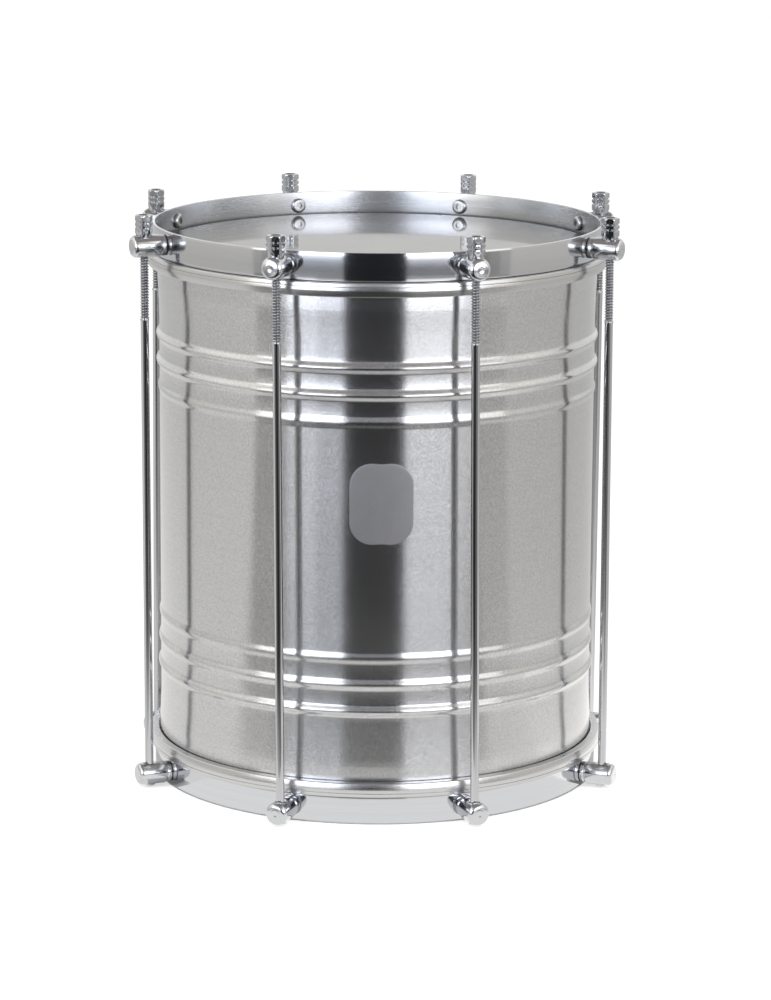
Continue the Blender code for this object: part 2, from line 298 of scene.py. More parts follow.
def round_ring(radius: float, height: float, steps: int, limit: Optional[Reach] = None) -> list[Point]:
    """One ring of points about Z.

    Args:
        radius: the ring's radius, or zero for a pole.
        height: the ring's height.
        steps: how many points.
        limit: the largest radius at an angle, for a piece that isn't round.

    Returns:
        The points.
    """
    if radius == 0:
        return [(0.0, 0.0, height)]
    ring = []
    for step in range(steps):
        angle = 2 * math.pi * step / steps
        reach = radius if limit is None else min(radius, limit(angle))
        ring.append((reach * math.cos(angle), reach * math.sin(angle), height))
    return ring


def revolved(name: str, outline: Outline, steps: int, loop: bool = False) -> bpy.types.Object:
    """An outline turned about Z.

    Args:
        name: the object's name.
        outline: points as (radius, height), running down the outer side.
        steps: how many facets round.
        loop: whether the outline is closed.

    Returns:
        The new object.
    """
    return skinned(name, [round_ring(radius, height, steps) for radius, height in outline], loop)


def hexagon_limit(flats: float, corner_round: float) -> Reach:
    """The reach of a hexagon with slightly rounded corners and a flat that faces +X.

    Args:
        flats: size across flats.
        corner_round: how far the corners are cut back.

    Returns:
        A function from an angle to the largest radius there.
    """
    corner = flats / 2 / math.cos(math.pi / 6) - corner_round

    def reach(angle: float) -> float:
        """Distance from the axis to the hexagon's side at an angle."""
        off = (angle + math.pi / 6) % (math.pi / 3) - math.pi / 6
        return min(flats / 2 / math.cos(off), corner)

    return reach


def capped(obj: bpy.types.Object) -> bpy.types.Object:
    """Fills the openings of a piece and drops doubled points."""
    mesh = bmesh.new()
    mesh.from_mesh(obj.data)
    bmesh.ops.remove_doubles(mesh, verts=mesh.verts, dist=1e-7)
    bmesh.ops.holes_fill(mesh, edges=mesh.edges)
    bmesh.ops.recalc_face_normals(mesh, faces=mesh.faces)
    mesh.to_mesh(obj.data)
    mesh.free()
    return obj


def laid_outwards(obj: bpy.types.Object) -> bpy.types.Object:
    """Lays a piece that was turned about Z along +X, with its top outwards."""
    obj.data.transform(Matrix.Rotation(math.pi / 2, 4, "Y"))
    return obj


def cut(obj: bpy.types.Object, cutters: Iterable[bpy.types.Object]) -> bpy.types.Object:
    """Cuts other objects out of a piece and removes them.

    Args:
        obj: the piece.
        cutters: closed objects, already in place.

    Returns:
        The piece.
    """
    cutters = list(cutters)
    for cutter in cutters:
        boolean = obj.modifiers.new(cutter.name, "BOOLEAN")
        boolean.operation = "DIFFERENCE"
        boolean.solver = "EXACT"
        boolean.object = cutter
    bpy.context.view_layer.update()
    depsgraph = bpy.context.evaluated_depsgraph_get()
    mesh = bpy.data.meshes.new_from_object(obj.evaluated_get(depsgraph))
    obj.modifiers.clear()
    obj.data = mesh
    for cutter in cutters:
        bpy.data.objects.remove(cutter)
    return obj


def shaded(obj: bpy.types.Object, sharp: float = 32.0) -> bpy.types.Object:
    """Shades a piece smooth between corners sharper than an angle in degrees."""
    obj.data.shade_smooth()
    obj.data.set_sharp_from_angle(angle=math.radians(sharp))
    return obj


def placed(obj: bpy.types.Object, body: str, slot: Slot, *nodes: str) -> bpy.types.Object:
    """Seats a finished piece in the frame.

    Args:
        obj: the piece.
        body: the body that it rides on.
        slot: the record's slot; not used.
        nodes: the CAD nodes that it stands for.

    Returns:
        The piece.
    """
    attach(obj, body)
    if nodes:
        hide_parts(*nodes)
    LOG.info("%s rides on %s, %d faces", obj.name, body, len(obj.data.polygons))
    return obj


class NodeTree:
    """A small builder for shader node trees."""

    def __init__(self, tree: bpy.types.NodeTree) -> None:
        """Keeps the tree that nodes are added to."""
        self.tree = tree

    def add(self, kind: str, **settings: object) -> bpy.types.Node:
        """Adds a node.

        Args:
            kind: the node's Blender type.
            settings: properties to set on it.

        Returns:
            The node.
        """
        node = self.tree.nodes.new(kind)
        for name, value in settings.items():
            setattr(node, name, value)
        return node

    def link(self, source: bpy.types.NodeSocket, target: bpy.types.NodeSocket) -> None:
        """Joins two sockets."""
        self.tree.links.new(source, target)

    def math(
        self, operation: str, first: object, second: object = None, clamp: bool = False
    ) -> bpy.types.NodeSocket:
        """Adds a Math node.

        Args:
            operation: its operation.
            first: a socket or a number.
            second: a socket, a number or nothing.
            clamp: whether the result is kept from 0 to 1.

        Returns:
            The result's socket.
        """
        node = self.add("ShaderNodeMath", operation=operation, use_clamp=clamp)
        for socket, value in zip(node.inputs, (first, second)):
            if isinstance(value, bpy.types.NodeSocket):
                self.link(value, socket)
            elif value is not None:
                socket.default_value = value
        return node.outputs[0]

    def spread(
        self, value: bpy.types.NodeSocket, low: float, high: float, start: float = 0.0, end: float = 1.0
    ) -> bpy.types.NodeSocket:
        """Maps a value from one range to another, clamped.

        Args:
            value: the socket to map.
            low: result at the start.
            high: result at the end.
            start: first input value.
            end: last input value.

        Returns:
            The result's socket.
        """
        node = self.add("ShaderNodeMapRange", clamp=True)
        self.link(value, node.inputs["Value"])
        for name, number in (("From Min", start), ("From Max", end), ("To Min", low), ("To Max", high)):
            node.inputs[name].default_value = number
        return node.outputs["Result"]

    def blend(self, share: bpy.types.NodeSocket, first: Colour, second: Colour) -> bpy.types.NodeSocket:
        """Mixes two colours.

        Args:
            share: how much of the second, from 0 to 1.
            first: linear colour at 0.
            second: linear colour at 1.

        Returns:
            The colour's socket.
        """
        node = self.add("ShaderNodeMix", data_type="RGBA")
        self.link(share, node.inputs["Factor"])
        colours = [socket for socket in node.inputs if socket.type == "RGBA"]
        colours[0].default_value = (*first, 1.0)
        colours[1].default_value = (*second, 1.0)
        return [socket for socket in node.outputs if socket.type == "RGBA"][0]


class SurfaceGroups:
    """The shader node groups that several finishes share."""

    def __init__(self) -> None:
        """Builds each group once."""
        self.brushing = self._brushing()
        self.handling = self._handling()

    @staticmethod
    def _new(
        name: str, inputs: dict[str, float], outputs: Sequence[str]
    ) -> tuple[NodeTree, bpy.types.Node, bpy.types.Node]:
        """Makes an empty group.

        Args:
            name: the group's name.
            inputs: each input's name and default.
            outputs: the outputs' names.

        Returns:
            The tree, its input node and its output node.
        """
        group = bpy.data.node_groups.new(name, "ShaderNodeTree")
        for socket_name, value in inputs.items():
            socket = group.interface.new_socket(socket_name, in_out="INPUT", socket_type="NodeSocketFloat")
            socket.default_value = value
        for socket_name in outputs:
            group.interface.new_socket(socket_name, in_out="OUTPUT", socket_type="NodeSocketFloat")
        tree = NodeTree(group)
        return tree, tree.add("NodeGroupInput"), tree.add("NodeGroupOutput")

    def _brushing(self) -> bpy.types.NodeTree:
        """Fine lines that the tool leaves in a metal, with streaks of a coarser scale among them."""
        inputs = {"Density X": 30.0, "Density Y": 30.0, "Density Z": 2500.0}
        tree, given, result = self._new("brushed_lines", inputs, ("Line", "Streak"))
        place = tree.add("ShaderNodeTexCoord").outputs["Object"]
        stretch = tree.add("ShaderNodeCombineXYZ")
        for axis in "XYZ":
            tree.link(given.outputs[f"Density {axis}"], stretch.inputs[axis])
        scaled = tree.add("ShaderNodeVectorMath", operation="MULTIPLY")
        tree.link(place, scaled.inputs[0])
        tree.link(stretch.outputs[0], scaled.inputs[1])
        for output, scale in (("Line", 1.0), ("Streak", 0.12)):
            noise = tree.add("ShaderNodeTexNoise")
            noise.inputs["Scale"].default_value = scale
            noise.inputs["Detail"].default_value = 3.0
            tree.link(scaled.outputs[0], noise.inputs["Vector"])
            tree.link(tree.spread(noise.outputs["Fac"], 0.0, 1.0, 0.3, 0.7), result.inputs[output])
        return tree.tree

    def _handling(self) -> bpy.types.NodeTree:
        """Broad smudges and sparse fine specks left by handling, and the metal's own grain."""
        inputs = {"Size": 14.0, "Speck Size": 900.0, "Grain Size": 800.0}
        tree, given, result = self._new("handling_marks", inputs, ("Smudge", "Speck", "Grain"))
        place = tree.add("ShaderNodeTexCoord").outputs["Object"]
        marks = (
            ("Smudge", "Size", 0.42, 0.68),
            ("Speck", "Speck Size", 0.66, 0.74),
            ("Grain", "Grain Size", 0.36, 0.64),
        )
        for output, size, start, end in marks:
            noise = tree.add("ShaderNodeTexNoise")
            noise.inputs["Detail"].default_value = 4.0
            noise.inputs["Roughness"].default_value = 0.6
            tree.link(place, noise.inputs["Vector"])
            tree.link(given.outputs[size], noise.inputs["Scale"])
            tree.link(tree.spread(noise.outputs["Fac"], 0.0, 1.0, start, end), result.inputs[output])
        return tree.tree


@dataclass(frozen=True)
class MetalFinish:
    """A metal with brushed lines, smudges and a faint variation of colour."""

    name: str
    colour: Colour
    shade: Colour
    roughness: float
    roughness_spread: float
    lines: tuple[float, float, float]
    anisotropy: float = 0.0
    bump: float = 0.05
    bump_depth: float = 0.00002
    smudge_size: float = 14.0
    grain: float = 0.0
    metallic: float = 1.0

    def build(self, groups: SurfaceGroups) -> bpy.types.Material:
        """Makes the material.

        Args:
            groups: the shared node groups.

        Returns:
            The material.
        """
        material = bpy.data.materials.new(self.name)
        material.use_nodes = True
        tree = NodeTree(material.node_tree)
        shader = material.node_tree.nodes["Principled BSDF"]
        brushing = tree.add("ShaderNodeGroup", node_tree=groups.brushing)
        for axis, density in zip("XYZ", self.lines):
            brushing.inputs[f"Density {axis}"].default_value = density
        handling = tree.add("ShaderNodeGroup", node_tree=groups.handling)
        handling.inputs["Size"].default_value = self.smudge_size
        lines = tree.math("ADD", brushing.outputs["Line"], brushing.outputs["Streak"])
        tint = tree.math("MULTIPLY", lines, 0.5)
        if self.grain:
            tint = tree.math("MULTIPLY", tint, 1 - self.grain)
            tint = tree.math("ADD", tint, tree.math("MULTIPLY", handling.outputs["Grain"], self.grain))
        tree.link(tree.blend(tint, self.shade, self.colour), shader.inputs["Base Color"])
        low, high = self.roughness - self.roughness_spread, self.roughness + self.roughness_spread
        wear = tree.math("MULTIPLY", tree.math("ADD", tint, handling.outputs["Smudge"]), 0.5)
        tree.link(tree.spread(wear, low, high), shader.inputs["Roughness"])
        shader.inputs["Metallic"].default_value = self.metallic
        if self.anisotropy:
            shader.inputs["Anisotropic"].default_value = self.anisotropy
            shader.inputs["Anisotropic Rotation"].default_value = 0.25
            tangent = tree.add("ShaderNodeTangent", direction_type="RADIAL", axis="Z")
            tree.link(tangent.outputs[0], shader.inputs["Tangent"])
        bump = tree.add("ShaderNodeBump")
        bump.inputs["Strength"].default_value = self.bump
        bump.inputs["Distance"].default_value = self.bump_depth
        relief = tree.math("ADD", lines, handling.outputs["Speck"])
        tree.link(relief, bump.inputs["Height"])
        tree.link(bump.outputs["Normal"], shader.inputs["Normal"])
        return material


@dataclass(frozen=True)
class FilmFinish:
    """The glossy film of a drumhead, faintly mottled."""

    name: str = "drumhead_film_finish"
    colour: Colour = (0.165, 0.165, 0.163)
    shade: Colour = (0.145, 0.145, 0.143)
    roughness: float = 0.045
    ior: float = 1.68

    def build(self, groups: SurfaceGroups) -> bpy.types.Material:
        """Makes the material.

        Args:
            groups: the shared node groups.

        Returns:
            The material.
        """
        material = bpy.data.materials.new(self.name)
        material.use_nodes = True
        tree = NodeTree(material.node_tree)
        shader = material.node_tree.nodes["Principled BSDF"]
        handling = tree.add("ShaderNodeGroup", node_tree=groups.handling)
        handling.inputs["Size"].default_value = 22.0
        tree.link(tree.blend(handling.outputs["Smudge"], self.colour, self.shade), shader.inputs["Base Color"])
        wear = tree.spread(handling.outputs["Smudge"], self.roughness, self.roughness * 2)
        tree.link(wear, shader.inputs["Roughness"])
        shader.inputs["IOR"].default_value = self.ior
        bump = tree.add("ShaderNodeBump")
        bump.inputs["Strength"].default_value = 0.03
        bump.inputs["Distance"].default_value = 0.00002
        tree.link(handling.outputs["Speck"], bump.inputs["Height"])
        tree.link(bump.outputs["Normal"], shader.inputs["Normal"])
        return material


class Finishes:
    """Every finish of the drum, built once."""

    def __init__(self) -> None:
        """Builds the groups and the materials."""
        groups = SurfaceGroups()
        self.shell = MetalFinish(
            "brushed_shell", (0.645, 0.645, 0.645), (0.515, 0.515, 0.52), 0.220, 0.02,
            (24.0, 24.0, 3200.0), anisotropy=0.93, bump=0.08, grain=0.80,
        ).build(groups)
        self.hoop = MetalFinish(
            "satin_hoop", (0.60, 0.60, 0.60), (0.54, 0.54, 0.54), 0.26, 0.04,
            (30.0, 30.0, 1800.0), anisotropy=0.4, bump=0.06,
        ).build(groups)
        self.nut_chrome = MetalFinish(
            "plated_nut", (0.56, 0.57, 0.59), (0.52, 0.53, 0.55), 0.13, 0.03,
            (60.0, 60.0, 1400.0), bump=0.03,
        ).build(groups)
        self.lug_chrome = MetalFinish(
            "plated_lug", (0.62, 0.63, 0.65), (0.58, 0.59, 0.61), 0.17, 0.03,
            (1600.0, 60.0, 60.0), bump=0.04,
        ).build(groups)
        self.band = MetalFinish(
            "chromed_band", (0.62, 0.63, 0.65), (0.58, 0.59, 0.61), 0.11, 0.02,
            (18.0, 18.0, 1700.0), anisotropy=0.4, bump=0.05,
        ).build(groups)
        self.band_inside = MetalFinish(
            "satin_band_inside", (0.61, 0.62, 0.64), (0.55, 0.56, 0.58), 0.28, 0.04,
            (18.0, 18.0, 1700.0), anisotropy=0.3, bump=0.06,
        ).build(groups)
        self.rod_steel = MetalFinish(
            "drawn_steel", (0.56, 0.565, 0.58), (0.50, 0.505, 0.52), 0.10, 0.03,
            (900.0, 900.0, 40.0), bump=0.03,
        ).build(groups)
        # Dark finish for the thread's valleys: painted shade, standing in for the shade that falls in the thread roots
        self.thread_root_shade = MetalFinish(
            "painted_shade_thread_root", (0.26, 0.26, 0.27), (0.20, 0.20, 0.21), 0.36, 0.05,
            (900.0, 900.0, 900.0), bump=0.03,
        ).build(groups)
        self.screw_steel = MetalFinish(
            "forged_steel", (0.60, 0.605, 0.62), (0.53, 0.535, 0.55), 0.24, 0.05,
            (500.0, 500.0, 500.0), bump=0.05,
        ).build(groups)
        self.foil = MetalFinish(
            "label_foil", (0.285, 0.285, 0.30), (0.255, 0.255, 0.27), 0.42, 0.04,
            (900.0, 900.0, 900.0), bump=0.04, metallic=0.6,
        ).build(groups)
        self.film = FilmFinish().build(groups)


def dressed(obj: bpy.types.Object, *materials: bpy.types.Material) -> bpy.types.Object:
    """Gives a piece its materials, in slot order."""
    obj.data.materials.clear()
    for material in materials:
        obj.data.materials.append(material)
    return obj


@dataclass
class Shell:
    """The beaded tube with its rolled bearing edges."""

    sizes: DrumSizes
    sheet: float = 0.0012
    lip: float = 0.0070
    bead_width: float = 0.0094
    first_bead: float = 0.079
    bead_pitch: float = 0.018
    top_heights: tuple[float, ...] = (0.0010, 0.0022, 0.0022)
    bottom_heights: tuple[float, ...] = (0.0010, 0.0014, 0.0018)
    bead_steps: int = 14
    crease_drop: float = 0.0195
    crease: float = 0.0004
    waist_length: float = 0.030
    waist_steps: int = 6
    steps: int = 288

    def bead(self, centre: float, height: float) -> Outline:
        """One bead in a cosine wave.

        Args:
            centre: its height on the drum.
            height: how far it stands out.

        Returns:
            Its outline, from the top down.
        """
        points = []
        for step in range(self.bead_steps + 1):
            share = step / self.bead_steps
            rise = height * (1 - math.cos(2 * math.pi * share)) / 2
            points.append((self.sizes.waist_radius + rise, centre + self.bead_width * (0.5 - share)))
        return points

    def outline(self) -> Outline:
        """The outer face, from the lip of the upper edge to the lip of the lower one."""
        sizes = self.sizes
        centre = (sizes.shell_radius - sizes.edge_radius, sizes.shell_top - sizes.edge_radius)
        inner = sizes.shell_radius - 2 * sizes.edge_radius
        edge = [(inner, centre[1] - self.lip)] + arc(centre, sizes.edge_radius, 180, 0, 16)
        crease = centre[1] - self.crease_drop
        edge.append((sizes.shell_radius, crease + self.crease))
        for step in range(self.waist_steps + 1):
            share = step / self.waist_steps
            radius = sizes.shell_radius - sizes.waist * share * (2 - share)
            edge.append((radius, crease - self.waist_length * share))
        outline = list(edge)
        for order in reversed(range(len(self.top_heights))):
            outline += self.bead(sizes.middle + self.first_bead + order * self.bead_pitch, self.top_heights[order])
        for order, height in enumerate(self.bottom_heights):
            outline += self.bead(sizes.middle - self.first_bead - order * self.bead_pitch, height)
        return outline + sizes.mirrored(edge)

    def build(self, finishes: Finishes) -> None:
        """Makes the shell.

        Args:
            finishes: the drum's materials.
        """
        outer = self.outline()
        shell = revolved("beaded_shell", outer + list(reversed(inside_of(outer, self.sheet))), self.steps, loop=True)
        dressed(shaded(shell), finishes.shell)
        placed(shell, Body.DRUM.named(), Slot.SHELL, "shell")


@dataclass
class FoilLabel:
    """The blank foil label on the front of the shell."""

    sizes: DrumSizes
    centre: float = math.radians(1.74)
    low: float = 0.1893
    high: float = 0.2434
    width: float = 0.0423
    corner: float = 0.0148
    thickness: float = 0.00016
    rim: float = 0.0005
    corner_steps: int = 16
    rings: int = 24

    def border(self, inset: float, height: float) -> list[Point]:
        """The label's outline, moved inwards and laid on the shell.

        Args:
            inset: how far it is moved inwards.
            height: how far it stands off the shell.

        Returns:
            The points, seen from the front in clockwise order.
        """
        across, along = self.width / 2 - self.corner, (self.high - self.low) / 2 - self.corner
        reach = self.corner - inset
        shrink = min(reach, 0.0)
        points = []
        for turn, (side, rise) in enumerate(((1, 1), (1, -1), (-1, -1), (-1, 1))):
            for step in range(self.corner_steps + 1):
                angle = math.radians(90 * (1 - turn) - 90 * step / self.corner_steps)
                right = side * max(across + shrink, 0.0) + max(reach, 0.0) * math.cos(angle)
                above = rise * max(along + shrink, 0.0) + max(reach, 0.0) * math.sin(angle)
                bearing = self.centre - math.pi / 2 + right / self.sizes.shell_radius
                radius = self.sizes.waist_radius + height
                points.append((radius * math.cos(bearing), radius * math.sin(bearing), (self.low + self.high) / 2 + above))
        return points

    def build(self, finishes: Finishes) -> None:
        """Makes the label.

        Args:
            finishes: the drum's materials.
        """
        deepest = self.width / 2 - 0.0001
        front = [self.border(deepest - (deepest - self.rim) * ring / self.rings, self.thickness) for ring in range(self.rings + 1)]
        back = [self.border(inset, 0.00002) for inset in (0.0, deepest / 4, deepest / 2, deepest * 3 / 4, deepest)]
        label = skinned("blank_label", front + [self.border(0.0, 0.00005)] + back)
        capped(label)
        dressed(shaded(label, 50.0), finishes.foil)
        placed(label, Body.DRUM.named(), Slot.SHELL)


@dataclass
class Heads:
    """The two films with their skirts."""

    sizes: DrumSizes
    lip: float = 0.0020
    groove_drop: float = 0.0058
    steps: int = 288

    def build(self, finishes: Finishes) -> None:
        """Makes both heads.

        Args:
            finishes: the drum's materials.
        """
        sizes = self.sizes
        bend = sizes.edge_radius + sizes.gap + sizes.film
        centre = (sizes.shell_radius - sizes.edge_radius, sizes.shell_top - sizes.edge_radius)
        lip_height = 2 * sizes.middle - sizes.hoop_foot - self.groove_drop + sizes.film / 2
        outer = [(0.0, centre[1] + bend), (centre[0] / 2, centre[1] + bend)] + arc(centre, bend, 90, 0, 12)
        outer += [(sizes.film_radius, lip_height), (sizes.film_radius + self.lip, lip_height)]
        inner = [(0.0, centre[1] + bend - sizes.film), (centre[0] / 2, centre[1] + bend - sizes.film)]
        inner += arc(centre, bend - sizes.film, 90, 0, 12)
        inner += [(sizes.film_radius - sizes.film, lip_height - sizes.film), (sizes.film_radius + self.lip, lip_height - sizes.film)]
        outline = outer + list(reversed(inner))
        for end, points in ((End.TOP, outline), (End.BOTTOM, sizes.mirrored(outline))):
            head = revolved(f"{end.value}_film", points, self.steps)
            dressed(shaded(head), finishes.film)
            placed(head, Body.DRUM.named(), Slot.FILM, f"{end.value}_head")


@dataclass
class FleshHoops:
    """The rounded aluminium rings that hold the films."""

    sizes: DrumSizes
    wall: float = 0.0063
    height: float = 0.0095
    round: float = 0.0008
    seam_drop: float = 0.0028
    seam_width: float = 0.0005
    seam_depth: float = 0.0004
    slant_height: float = 0.0042
    slant: float = math.radians(15)
    flare: float = math.radians(8)
    steps: int = 288

    def outline(self) -> Outline:
        """The top hoop's section: a wall that widens down to a ridge, with a fine seam, and a foot that slants in."""
        sizes = self.sizes
        high = 2 * sizes.middle - sizes.hoop_foot
        low = high - self.height
        ridge = (sizes.hoop_bore + self.wall, low + self.slant_height)
        flare, slant = math.tan(self.flare), math.tan(self.slant)
        shoulder = ridge[0] - (high - self.round - ridge[1]) * flare - self.round
        foot = ridge[0] - (ridge[1] - low - self.round) * slant - self.round
        seam = high - self.seam_drop
        half = self.seam_width / 2
        wall = ridge[0] - (seam - ridge[1]) * flare
        points = [(sizes.hoop_bore + 0.0003, high)]
        points += arc((shoulder, high - self.round), self.round, 90, 8, 6)
        points += [(wall, seam + half), (wall - self.seam_depth, seam + half / 3)]
        points += [(wall - self.seam_depth, seam - half / 3), (wall, seam - half)]
        points += [(ridge[0] - 0.0002 * flare, ridge[1] + 0.0002), (ridge[0] - 0.0002 * slant, ridge[1] - 0.0002)]
        points += arc((foot, low + self.round), self.round, -15, -90, 6)
        return points + [(sizes.hoop_bore + 0.0003, low), (sizes.hoop_bore, low + 0.0003), (sizes.hoop_bore, high - 0.0003)]

    def build(self, finishes: Finishes) -> None:
        """Makes both hoops.

        Args:
            finishes: the drum's materials.
        """
        outline = self.outline()
        for end, points in ((End.TOP, outline), (End.BOTTOM, self.sizes.mirrored(outline))):
            hoop = revolved(f"{end.value}_flesh_ring", points, self.steps, loop=True)
            dressed(shaded(hoop, 40.0), finishes.hoop)
            placed(hoop, Body.DRUM.named(), Slot.HOOP, f"{end.value}_flesh_hoop")


@dataclass
class TensionHoops:
    """The flat chromed bands."""

    sizes: DrumSizes
    edge: float = 0.00035
    camber: float = 0.00018
    camber_steps: int = 10
    steps: int = 288

    def outer_face(self, low: float, high: float) -> Outline:
        """The outer face, which bulges a little between its edges.

        Args:
            low: its lower end.
            high: its upper end.

        Returns:
            Its outline, from the top down.
        """
        points = []
        for step in range(1, self.camber_steps):
            share = step / self.camber_steps
            bulge = self.camber * 4 * share * (1 - share)
            points.append((self.sizes.band_radius - self.camber + bulge, high + (low - high) * share))
        return points

    def build(self, finishes: Finishes) -> None:
        """Makes both bands.

        Args:
            finishes: the drum's materials.
        """
        sizes, edge = self.sizes, self.edge
        for end in End:
            low = 0.0 if end is End.BOTTOM else 2 * sizes.middle - sizes.band_height
            high = low + sizes.band_height
            rim = sizes.band_radius - self.camber - edge
            outline = arc((rim, high - edge), edge, 90, 0, 4) + self.outer_face(low + edge, high - edge)
            outline += arc((rim, low + edge), edge, 0, -90, 4)
            outline += arc((sizes.band_bore + edge, low + edge), edge, -90, -180, 4)
            outline += arc((sizes.band_bore + edge, high - edge), edge, 180, 90, 4)
            band = revolved(f"{end.value}_band", outline, self.steps, loop=True)
            dressed(shaded(band, 60.0), finishes.band, finishes.band_inside)
            for face in band.data.polygons:
                if face.center.xy.length < sizes.band_bore + 0.0001:
                    face.material_index = 1
            placed(band, Body.DRUM.named(), Slot.CHROME, f"{end.value}_tension_hoop")


@dataclass
class Lugs:
    """The turned lugs, drilled for the rods."""

    sizes: DrumSizes
    foot_radius: float = 0.0071
    foot_length: float = 0.0030
    neck_radius: float = 0.0064
    neck_width: float = 0.0008
    edge_round: float = 0.00035
    nose_round: float = 0.0034
    face_radius: float = 0.0039
    dimple_radius: float = 0.0007
    dimple_depth: float = 0.0004
    seat_radius: float = 0.0056
    hole_radius: float = 0.0035
    pocket_flats: float = 0.0082
    bore_radius: float = 0.0033
    steps: int = 56

    def outline(self) -> Outline:
        """A lug's section, from the dimple in its outer face to the bore in its foot."""
        sizes = self.sizes
        start, end = sizes.band_radius + sizes.gap, sizes.lug_end
        foot = start + self.foot_length
        fillet = self.edge_round
        bore_end = sizes.rod_circle - self.hole_radius - 0.001
        points = [(0.0, end - self.dimple_depth), (self.dimple_radius, end - 0.0001)]
        points += [(self.face_radius - 0.0002, end), (self.face_radius, end - 0.00008)]
        points += arc((sizes.lug_radius - self.nose_round, end - self.nose_round), self.nose_round, 84, 0, 12)
        points += arc((sizes.lug_radius - fillet, foot + self.neck_width + fillet), fillet, 0, -90, 3)
        points += [(self.neck_radius, foot + self.neck_width), (self.neck_radius, foot)]
        points += arc((self.foot_radius - fillet, foot - fillet), fillet, 90, 0, 3)
        points += [(self.foot_radius, start), (self.bore_radius, start)]
        return points + [(self.bore_radius, bore_end), (0.0, bore_end)]

    def cutters(self, end: End) -> list[bpy.types.Object]:
        """The rod's hole and the nut's seat or the head's pocket.

        Args:
            end: which end of the drum.

        Returns:
            Closed objects on the rod's axis, at the lug's own height.
        """
        radius, reach = self.sizes.lug_radius, 2 * self.sizes.lug_radius
        ease = 0.0004
        side = math.sqrt(radius**2 - self.hole_radius**2)
        hole = [(0.0, reach), (self.hole_radius + ease + reach - side, reach), (self.hole_radius, side - ease)]
        hole += [(self.hole_radius, ease - side), (self.hole_radius + ease + reach - side, -reach), (0.0, -reach)]
        made = [revolved("rod_hole", hole, 40)]
        if end is End.TOP:
            floor = radius - self.sizes.nut_seat_depth
            seat = [(0.0, reach), (self.seat_radius, reach), (self.seat_radius, floor), (0.0, floor)]
            made.append(revolved("seat", seat, 48))
        else:
            roof = self.sizes.head_pocket_depth - radius
            limit = hexagon_limit(self.pocket_flats, 0.0002)
            wide = self.pocket_flats
            sides = [round_ring(wide, roof, 48, limit), round_ring(wide, -reach, 48, limit)]
            made.append(skinned("pocket", [[(0.0, 0.0, roof)], *sides, [(0.0, 0.0, -reach)]]))
        for cutter in made:
            cutter.location.x = self.sizes.rod_circle
        return made

    def build(self, finishes: Finishes) -> None:
        """Makes all sixteen lugs.

        Args:
            finishes: the drum's materials.
        """
        for end in End:
            pattern = laid_outwards(revolved(f"{end.value}_lug_pattern", self.outline(), self.steps))
            shaded(cut(pattern, self.cutters(end)), 28.0)
            dressed(pattern, finishes.lug_chrome)
            for index in range(self.sizes.lugs):
                lug = bpy.data.objects.new(f"{end.value}_turned_lug_{index + 1}", pattern.data)
                bpy.context.scene.collection.objects.link(lug)
                lug.location.z = self.sizes.lug_height(end)
                lug.rotation_euler.z = self.sizes.lug_angle(index, end)
                placed(lug, Body.DRUM.named(), Slot.CHROME, f"{end.value}_lug_{index + 1}")
            bpy.data.objects.remove(pattern)


@dataclass
class LugScrews:
    """The button-head screws inside the bands."""

    sizes: DrumSizes
    shank: float = 0.0030
    head_radius: float = 0.00525
    head_height: float = 0.0024
    rim: float = 0.0005
    flat: float = 0.0034
    socket_flats: float = 0.0040
    socket_depth: float = 0.0017
    tip: float = 0.1629
    steps: int = 48

    def outline(self) -> Outline:
        """A screw's section, from its tip to the flat of its head."""
        seat = self.sizes.band_bore - self.sizes.gap
        crown = seat - self.head_height
        points = [(0.0, self.tip), (self.shank - 0.0004, self.tip), (self.shank, self.tip - 0.0004)]
        points += [(self.shank, seat), (self.head_radius - 0.00015, seat), (self.head_radius, seat - 0.00015)]
        dome = self.head_height - self.rim
        for step in range(9):
            angle = math.radians(90 * step / 8)
            reach = self.flat + (self.head_radius - self.flat) * math.cos(angle)
            points.append((reach, seat - self.rim - dome * math.sin(angle)))
        return points + [(0.0, crown)]

    def build(self, finishes: Finishes) -> None:
        """Makes all sixteen screws.

        Args:
            finishes: the drum's materials.
        """
        pattern = laid_outwards(revolved("screw_pattern", self.outline(), self.steps))
        crown = self.sizes.band_bore - self.sizes.gap - self.head_height
        limit = hexagon_limit(self.socket_flats, 0.0)
        rings = [[(0.0, 0.0, crown + self.socket_depth)], round_ring(1.0, crown + self.socket_depth, 24, limit)]
        rings += [round_ring(1.0, crown - 0.002, 24, limit), [(0.0, 0.0, crown - 0.002)]]
        shaded(cut(pattern, [laid_outwards(skinned("socket", rings))]))
        dressed(pattern, finishes.screw_steel)
        for end in End:
            for index in range(self.sizes.lugs):
                screw = bpy.data.objects.new(f"{end.value}_button_screw_{index + 1}", pattern.data)
                bpy.context.scene.collection.objects.link(screw)
                screw.location.z = self.sizes.lug_height(end)
                screw.rotation_euler.z = self.sizes.lug_angle(index, end)
                placed(screw, Body.DRUM.named(), Slot.STEEL, f"{end.value}_lug_screw_{index + 1}")
        bpy.data.objects.remove(pattern)


